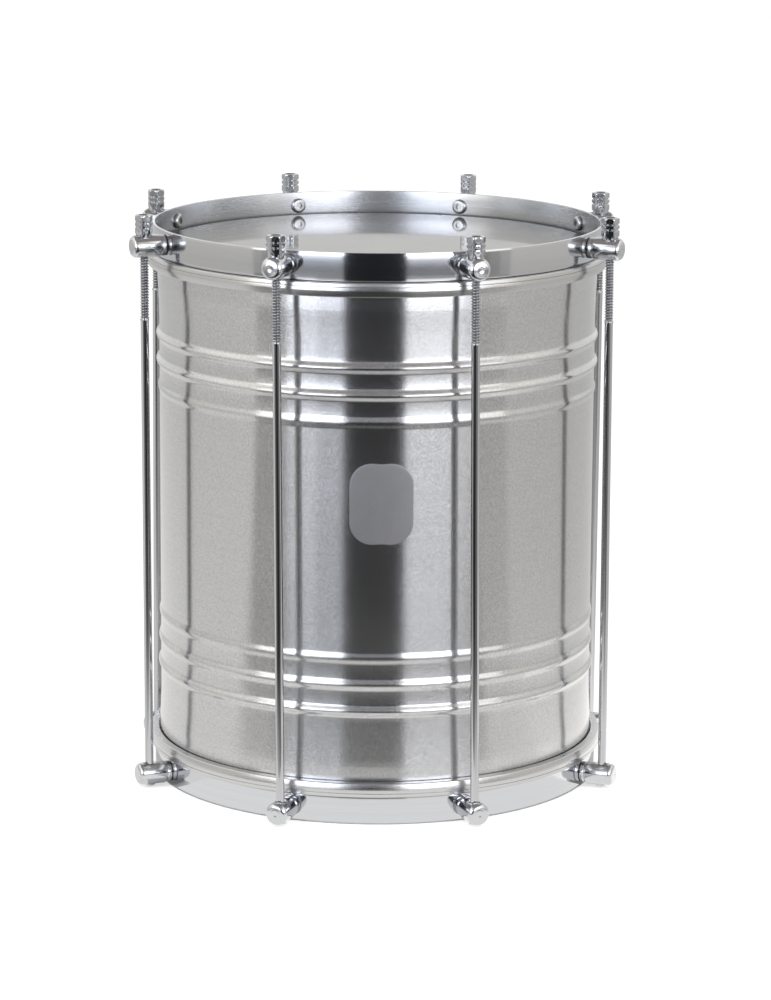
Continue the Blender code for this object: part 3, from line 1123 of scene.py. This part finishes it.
@dataclass
class TensionRods:
    """The rods, with a cut thread at the top and a hexagon head below; the thread's roots carry painted shade."""

    sizes: DrumSizes
    shank: float = 0.00283
    thread: float = 0.003175
    pitch: float = 0.0019
    thread_depth: float = 0.00100
    shaded_root_depth: float = 0.00060
    below_lug: float = 0.0418
    head_flats: float = 0.0074
    head_height: float = 0.0037
    rings_per_turn: int = 10
    steps: int = 24

    def thread_radius(self, height: float, angle: float, fade: float) -> float:
        """The thread's surface.

        Args:
            height: height on the rod.
            angle: angle round it.
            fade: share of the thread's full depth.

        Returns:
            The radius there.
        """
        turn = height / self.pitch - angle / (2 * math.pi)
        share = abs(2 * (turn - math.floor(turn)) - 1)
        return self.thread - self.thread_depth * fade * min(max(1.2 * share - 0.1, 0.0), 1.0)

    def rings(self) -> list[list[Point]]:
        """All the rod's rings, from its top down."""
        sizes = self.sizes
        top = sizes.rod_top
        foot = sizes.lug_height(End.TOP) - sizes.lug_radius - self.below_lug
        rings = [[(0.0, 0.0, top)], round_ring(self.thread - 0.0009, top, self.steps)]
        count = round((top - foot) / self.pitch * self.rings_per_turn)
        for order in range(count + 1):
            height = top - 0.0005 - (top - 0.0005 - foot) * order / count
            fade = min(1.0, order / 6, (count - order) / 10)
            ring = []
            for step in range(self.steps):
                angle = 2 * math.pi * step / self.steps
                radius = self.thread_radius(height, angle, fade)
                ring.append((radius * math.cos(angle), radius * math.sin(angle), height))
            rings.append(ring)
        head_top = sizes.lug_height(End.BOTTOM) - sizes.lug_radius + sizes.head_pocket_depth - sizes.gap
        head_foot = head_top - self.head_height
        limit = hexagon_limit(self.head_flats, 0.0002)
        rings.append(round_ring(self.shank, foot - 0.0007, self.steps))
        rings.append(round_ring(self.shank, head_top, self.steps))
        rings.append(round_ring(1.0, head_top, self.steps, limit))
        rings.append(round_ring(1.0, head_foot + 0.0006, self.steps, limit))
        rings.append(round_ring(self.head_flats / 2 - 0.0003, head_foot, self.steps))
        return rings + [[(0.0, 0.0, head_foot)]]

    def place(self, index: int) -> Matrix:
        """Stands a rod in the middle of its bottom lug and leans it to its top one.

        Args:
            index: the rod's number, from zero.

        Returns:
            The rod's matrix.
        """
        sizes = self.sizes
        low = sizes.lug_height(End.BOTTOM)
        angle = sizes.lug_angle(index, End.BOTTOM)
        foot = sizes.on_rod_circle(angle, low)
        grip_height = (sizes.lug_height(End.TOP) - sizes.lug_radius + sizes.nut_foot + sizes.nut_height) / 2
        grip = sizes.on_rod_circle(sizes.lug_angle(index), grip_height)
        lean = Vector((0.0, 0.0, 1.0)).rotation_difference(grip - foot).to_matrix().to_4x4()
        return Matrix.Translation(foot) @ lean @ Matrix.Rotation(angle, 4, "Z") @ Matrix.Translation((0.0, 0.0, -low))

    def build(self, finishes: Finishes) -> None:
        """Makes all eight rods.

        Args:
            finishes: the drum's materials.
        """
        pattern = shaded(skinned("rod_pattern", self.rings()), 50.0)
        dressed(pattern, finishes.rod_steel, finishes.thread_root_shade)
        # Faces deep in the thread's roots take the darker finish: painted shade where the valleys fall into shade
        foot = self.sizes.lug_height(End.TOP) - self.sizes.lug_radius - self.below_lug
        for face in pattern.data.polygons:
            if face.center.z > foot and face.center.xy.length < self.thread - self.shaded_root_depth:
                face.material_index = 1
        for index in range(self.sizes.lugs):
            rod = bpy.data.objects.new(f"threaded_rod_{index + 1}", pattern.data)
            bpy.context.scene.collection.objects.link(rod)
            rod.matrix_basis = self.place(index)
            placed(rod, Body.DRUM.named(), Slot.STEEL, f"tension_rod_{index + 1}")
        bpy.data.objects.remove(pattern)


@dataclass
class TensionNuts:
    """The tall hexagon nuts with two turned grooves."""

    sizes: DrumSizes
    flats: float = 0.0111
    foot_chamfer: float = 0.0011
    top_chamfer: float = 0.0014
    groove_width: float = 0.0013
    groove_depth: float = 0.0001
    groove_drops: tuple[float, float] = (0.0044, 0.0078)
    turns: tuple[float, ...] = (-10, -16, 2, -6, -27, 30, -27, 18)
    bore: float = 0.0035
    steps: int = 72

    def outline(self) -> Outline:
        """The nut's turned form, from its top down its outer side."""
        corner = self.flats / 2 / math.cos(math.pi / 6)
        high = self.sizes.nut_height
        neck = self.flats / 2 - self.groove_depth
        points = [(self.flats / 2 - 0.0007, high)]
        for step in range(1, 6):
            angle = math.radians(90 * step / 5)
            reach = self.flats / 2 - 0.0007
            points.append((reach + (corner - reach) * math.sin(angle), high - self.top_chamfer * (1 - math.cos(angle))))
        half, ease = self.groove_width / 2, 0.00012
        for drop in self.groove_drops:
            middle = high - drop
            points += [(corner, middle + half), (neck + ease, middle + half - ease)]
            points += [(neck, middle + half - 2 * ease), (neck, middle - half + 2 * ease)]
            points += [(neck + ease, middle - half + ease), (corner, middle - half)]
        seat = self.sizes.nut_seat_depth
        foot = corner - self.foot_chamfer
        points += [(corner, seat + self.foot_chamfer), (foot, seat), (foot, 0.0002), (foot - 0.0002, 0.0)]
        return points

    def build(self, finishes: Finishes) -> None:
        """Makes all eight nuts, each on its own body.

        Args:
            finishes: the drum's materials.
        """
        limit = hexagon_limit(self.flats, 0.00018)
        rings = [round_ring(radius, height, self.steps, limit) for radius, height in self.outline()]
        high, bore, ease = self.sizes.nut_height, self.bore, 0.0005
        for radius, height in ((bore + ease, 0.0), (bore, ease), (bore, high - ease), (bore + ease, high)):
            rings.append(round_ring(radius, height, self.steps))
        pattern = shaded(skinned("nut_pattern", rings, loop=True), 28.0)
        dressed(pattern, finishes.nut_chrome)
        for index, turn in enumerate(self.turns):
            nut = bpy.data.objects.new(f"hexagon_nut_{index + 1}", pattern.data)
            bpy.context.scene.collection.objects.link(nut)
            angle = self.sizes.lug_angle(index)
            nut.location = self.sizes.on_rod_circle(angle, self.sizes.nut_foot)
            nut.rotation_euler.z = angle + math.radians(turn)
            placed(nut, Body.NUT.named(index), Slot.CHROME, f"tension_nut_{index + 1}")
        bpy.data.objects.remove(pattern)


@dataclass(frozen=True)
class Card:
    """A card that only the metal mirrors: a soft box, a wall, a dark place or a part of the table."""

    name: str
    rows: tuple[tuple[Point, ...], tuple[Point, ...]]
    colour: Colour
    strengths: tuple[float, float]

    def build(self) -> None:
        """Makes the card, seen by reflections alone, its glow running from one row to the other."""
        count = len(self.rows[0])
        mesh = bpy.data.meshes.new(self.name)
        faces = [(step, step + 1, count + step + 1, count + step) for step in range(count - 1)]
        mesh.from_pydata([point for row in self.rows for point in row], [], faces)
        glow = mesh.attributes.new("glow", "FLOAT", "POINT")
        for row, strength in enumerate(self.strengths):
            for step in range(count):
                glow.data[row * count + step].value = strength
        card = bpy.data.objects.new(self.name, mesh)
        bpy.context.scene.collection.objects.link(card)
        material = bpy.data.materials.new(self.name)
        material.use_nodes = True
        tree = NodeTree(material.node_tree)
        emission = tree.add("ShaderNodeEmission")
        emission.inputs["Color"].default_value = (*self.colour, 1.0)
        tree.link(tree.add("ShaderNodeAttribute", attribute_name="glow").outputs["Fac"], emission.inputs["Strength"])
        tree.link(emission.outputs[0], material.node_tree.nodes["Material Output"].inputs["Surface"])
        dressed(card, material)
        card.visible_camera = False
        card.visible_diffuse = False
        card.visible_shadow = False
        card.visible_transmission = False


def flat_sheet(name: str, corners: Sequence[Point]) -> bpy.types.Object:
    """A flat sheet.

    Args:
        name: the object's name.
        corners: its corners in order.

    Returns:
        The object.
    """
    mesh = bpy.data.meshes.new(name)
    mesh.from_pydata(list(corners), [], [tuple(range(len(corners)))])
    obj = bpy.data.objects.new(name, mesh)
    bpy.context.scene.collection.objects.link(obj)
    return obj


def bowed(bearings: tuple[float, float], reach: float, height: float) -> tuple[Point, ...]:
    """A row of places round the drum.

    Args:
        bearings: where it starts and ends, in degrees from the front.
        reach: its distance from the drum's axis.
        height: its height.

    Returns:
        The places.
    """
    start, end = (math.radians(bearing) for bearing in bearings)
    steps = max(2, round(abs(end - start) / math.radians(4)))
    angles = [start + (end - start) * step / steps for step in range(steps + 1)]
    return tuple((reach * math.sin(angle), -reach * math.cos(angle), height) for angle in angles)


def screen(
    name: str,
    bearings: tuple[float, float],
    heights: tuple[float, float],
    strengths: tuple[float, float],
    colour: Colour = (0.96, 0.98, 1.05),
    reach: float = 1.8,
) -> Card:
    """An upright card.

    Args:
        name: the card's name.
        bearings: where it starts and ends, in degrees from the front.
        heights: its lower and upper edge.
        strengths: its brightness at either edge.
        colour: its colour.
        reach: its distance from the drum's axis.

    Returns:
        The card.
    """
    low, high = (bowed(bearings, reach, height) for height in heights)
    return Card(name, (low, high), colour, strengths)


def table(
    name: str,
    bearings: tuple[float, float],
    reaches: tuple[float, float],
    strengths: tuple[float, float],
    colour: Colour = (1.0, 0.99, 0.97),
) -> Card:
    """A part of the table.

    Args:
        name: the card's name.
        bearings: where it starts and ends, in degrees from the front.
        reaches: its nearer and farther edge, from the drum's axis.
        strengths: its brightness at either edge.
        colour: its colour.

    Returns:
        The card.
    """
    near, far = (bowed(bearings, reach, 0.0005) for reach in reaches)
    return Card(name, (near, far), colour, strengths)


@dataclass
class Studio:
    """The pale floor, the soft lights, the cards that the metal mirrors, and the camera."""

    image_long_side: float = 1000.0
    focal_pixels: float = 3787.8
    distance: float = 2.5629
    height: float = 0.7401
    azimuth: float = 0.370
    pitch: float = 12.173
    yaw: float = -0.145
    roll: float = 0.342
    floor_white: float = 0.80
    floor_glow: float = 0.50
    ambient: float = 0.72
    mirrored_wall: float = 1.0
    lamps: Sequence[tuple[str, Point, tuple[float, float], float]] = field(
        default_factory=lambda: (
            ("left_light", (-1.4, -1.4, 1.6), (1.2, 1.6), 14.0),
            ("right_light", (1.4, -1.4, 1.6), (1.2, 1.6), 14.0),
        )
    )
    cards: Sequence[Card] = field(
        default_factory=lambda: (
            screen("left_soft_box", (-45, -29), (0.27, 1.0), (5.00, 4.4), (0.93, 0.98, 1.10)),
            screen("left_soft_edge", (-29, -15.7), (0.27, 1.0), (4.00, 3.8), (0.93, 0.98, 1.10)),
            screen("left_fading_edge", (-45, -15.7), (0.22, 0.27), (0.40, 4.0), (0.93, 0.98, 1.10)),
            screen("left_high_wall", (-45, -15.7), (1.0, 2.2), (1.00, 0.7), (1.0, 0.97, 0.93)),
            screen("right_soft_box", (14.3, 43), (0.25, 1.0), (5.30, 4.2)),
            screen("right_fading_edge", (14.3, 43), (0.22, 0.25), (0.25, 4.0)),
            screen("right_soft_side", (43, 50), (0.22, 1.0), (3.20, 2.0)),
            screen("right_high_wall", (14.3, 50), (1.0, 2.2), (1.00, 0.7), (1.0, 0.97, 0.93)),
            screen("dark_doorway", (-15.7, 14.3), (0.0, 0.62), (0.02, 0.02), (0.90, 0.95, 1.10)),
            screen("pale_lintel", (-15.7, 14.3), (0.62, 0.78), (0.60, 1.1)),
            screen("dim_top", (-15.7, 14.3), (0.78, 2.2), (0.40, 0.4)),
            screen("left_foot", (-45, -15.7), (0.0, 0.22), (0.26, 0.40)),
            screen("right_foot", (14.3, 43), (0.0, 0.22), (0.15, 0.25)),
            screen("right_side_foot", (43, 50), (0.0, 0.22), (0.20, 0.20)),
            screen("left_dim_wall", (-51, -45), (0.0, 0.36), (0.26, 0.32), (1.0, 0.98, 0.95)),
            screen("left_next_wall", (-57, -51), (0.0, 0.36), (0.34, 0.42), (1.0, 0.98, 0.95)),
            screen("left_far_wall", (-62, -57), (0.0, 0.36), (0.44, 0.54), (1.0, 0.98, 0.95)),
            screen("left_pale_wall", (-62, -45), (0.36, 2.2), (2.50, 1.50), (1.0, 0.98, 0.95)),
            screen("left_wall", (-120, -62), (0.0, 2.2), (0.58, 1.70), (1.0, 0.975, 0.93)),
            screen("right_dim_wall", (50, 56), (0.0, 0.36), (0.26, 0.32), (1.0, 0.98, 0.95)),
            screen("right_next_wall", (56, 62), (0.0, 0.36), (0.34, 0.42), (1.0, 0.98, 0.95)),
            screen("right_far_wall", (62, 68), (0.0, 0.36), (0.46, 0.54), (1.0, 0.98, 0.95)),
            screen("right_pale_wall", (50, 68), (0.36, 2.2), (1.80, 1.40), (1.0, 0.98, 0.95)),
            screen("right_wall", (68, 120), (0.0, 2.2), (0.60, 1.50), (1.0, 0.975, 0.93)),
            table("near_table", (-62, 68), (0.1545, 0.27), (1.08, 1.05)),
            table("left_side_front_table", (-62, -45), (0.27, 0.42), (0.85, 0.34)),
            table("left_side_table", (-62, -45), (0.42, 1.8), (0.34, 0.28)),
            table("left_front_table", (-45, -29), (0.27, 0.42), (0.75, 0.08)),
            table("left_table", (-45, -29), (0.42, 0.9), (0.08, 0.25)),
            table("left_far_table", (-45, -29), (0.9, 1.3), (0.25, 1.20)),
            table("left_last_table", (-45, -29), (1.3, 1.8), (1.20, 0.60)),
            table("left_inner_front_table", (-29, -13), (0.27, 0.42), (0.55, 0.05)),
            table("left_inner_table", (-29, -15.7), (0.42, 0.9), (0.05, 0.12)),
            table("left_inner_far_table", (-29, -15.7), (0.9, 1.3), (0.12, 0.75)),
            table("left_inner_last_table", (-29, -15.7), (1.3, 1.8), (0.75, 0.40)),
            table("middle_front_table", (-13, 12), (0.27, 0.42), (0.34, 0.07)),
            table("middle_table", (-15.7, 14.3), (0.42, 1.8), (0.03, 0.02)),
            table("right_front_table", (12, 50), (0.27, 0.42), (1.00, 0.18)),
            table("right_table", (14.3, 50), (0.42, 0.9), (0.18, 0.35)),
            table("right_far_table", (14.3, 50), (0.9, 1.3), (0.35, 1.40)),
            table("right_last_table", (14.3, 50), (1.3, 1.8), (1.40, 0.80)),
            table("right_side_front_table", (50, 68), (0.27, 0.6), (1.08, 0.54)),
            table("right_side_table", (50, 68), (0.6, 1.8), (0.54, 0.36)),
            table("left_end_table", (-180, -62), (0.17, 1.8), (1.00, 0.66)),
            table("right_end_front_table", (68, 180), (0.17, 0.5), (1.40, 0.74)),
            table("right_end_table", (68, 180), (0.5, 1.8), (0.74, 0.58)),
            Card(
                "dim_ceiling",
                (((-1.8, -1.8, 2.2), (1.8, -1.8, 2.2)), ((-1.8, 1.5, 2.2), (1.8, 1.5, 2.2))),
                (1.0, 0.92, 0.87),
                (0.32, 0.32),
            ),
        )
    )

    def build(self) -> None:
        """Sets up everything that isn't the drum."""
        self.world()
        self.floor()
        for card in self.cards:
            card.build()
        for lamp in self.lamps:
            self.lamp(*lamp)
        self.camera()
        bpy.context.scene.view_settings.view_transform = "Standard"

    def world(self) -> None:
        """A white surround for the camera, warm pale walls in the metal, and softer light on the object."""
        world = bpy.data.worlds.new("pale_studio")
        bpy.context.scene.world = world
        world.use_nodes = True
        tree = NodeTree(world.node_tree)
        background = world.node_tree.nodes["Background"]
        path = tree.add("ShaderNodeLightPath")
        mirrored = tree.math("ADD", path.outputs["Is Glossy Ray"], path.outputs["Is Transmission Ray"], clamp=True)
        seen = tree.math("ADD", path.outputs["Is Camera Ray"], mirrored, clamp=True)
        tree.link(tree.blend(mirrored, (1.0, 1.0, 1.0), (0.95, 0.945, 0.935)), background.inputs["Color"])
        tree.link(tree.spread(seen, self.ambient, self.mirrored_wall), background.inputs["Strength"])

    def floor(self) -> None:
        """A wide pale floor that glows for the camera, so that only a soft shadow is left on it."""
        floor = flat_sheet("floor", ((-6, -6, 0), (6, -6, 0), (6, 6, 0), (-6, 6, 0)))
        material = bpy.data.materials.new("pale_floor")
        material.use_nodes = True
        tree = NodeTree(material.node_tree)
        shader = material.node_tree.nodes["Principled BSDF"]
        noise = tree.add("ShaderNodeTexNoise")
        noise.inputs["Scale"].default_value = 60.0
        white = self.floor_white
        tree.link(tree.blend(noise.outputs["Fac"], (white, white, white), (white, white, white * 0.99)), shader.inputs["Base Color"])
        shader.inputs["Roughness"].default_value = 1.0
        shader.inputs["Specular IOR Level"].default_value = 0.0
        shader.inputs["Emission Color"].default_value = (1.0, 1.0, 1.0, 1.0)
        path = tree.add("ShaderNodeLightPath")
        tree.link(tree.math("MULTIPLY", path.outputs["Is Camera Ray"], self.floor_glow), shader.inputs["Emission Strength"])
        dressed(floor, material)

    @staticmethod
    def lamp(name: str, place: Point, size: tuple[float, float], power: float) -> None:
        """One soft light, aimed at the drum and left out of reflections.

        Args:
            name: the lamp's name.
            place: where it stands.
            size: its width and height.
            power: its power in watts.
        """
        data = bpy.data.lights.new(name, "AREA")
        data.shape = "RECTANGLE"
        data.size, data.size_y = size
        data.energy = power
        lamp = bpy.data.objects.new(name, data)
        bpy.context.scene.collection.objects.link(lamp)
        lamp.location = place
        aim = Vector((0.0, 0.0, 0.2)) - Vector(place)
        lamp.rotation_euler = aim.to_track_quat("-Z", "Y").to_euler()
        lamp.visible_glossy = False

    def camera(self) -> None:
        """The camera that the photograph's ellipses give."""
        data = bpy.data.cameras.new("camera")
        data.sensor_width = 36.0
        data.lens = self.focal_pixels / self.image_long_side * data.sensor_width
        data.clip_start, data.clip_end = 0.05, 50.0
        camera = bpy.data.objects.new("camera", data)
        bpy.context.scene.collection.objects.link(camera)
        azimuth, heading = math.radians(self.azimuth), math.radians(self.azimuth + self.yaw)
        pitch, roll = math.radians(self.pitch), math.radians(self.roll)
        ahead = Vector((-math.sin(heading) * math.cos(pitch), math.cos(heading) * math.cos(pitch), -math.sin(pitch)))
        right = ahead.cross(Vector((0.0, 0.0, 1.0))).normalized()
        above = right.cross(ahead)
        rolled_right = right * math.cos(roll) + above * math.sin(roll)
        rolled_above = above * math.cos(roll) - right * math.sin(roll)
        place = Matrix((rolled_right, rolled_above, -ahead)).transposed().to_4x4()
        place.translation = Vector((math.sin(azimuth) * self.distance, -math.cos(azimuth) * self.distance, self.height))
        camera.matrix_world = place
        bpy.context.scene.camera = camera


def main() -> None:
    """Builds the drum's looks and the studio."""
    logging.basicConfig(level=logging.INFO, format="%(name)s: %(message)s")
    sizes = DrumSizes()
    finishes = Finishes()
    assemblies = (Shell, FoilLabel, Heads, FleshHoops, TensionHoops, Lugs, LugScrews, TensionRods, TensionNuts)
    for assembly in assemblies:
        assembly(sizes).build(finishes)
    Studio().build()
    bpy.context.view_layer.update()


if __name__ == "__main__":
    main()
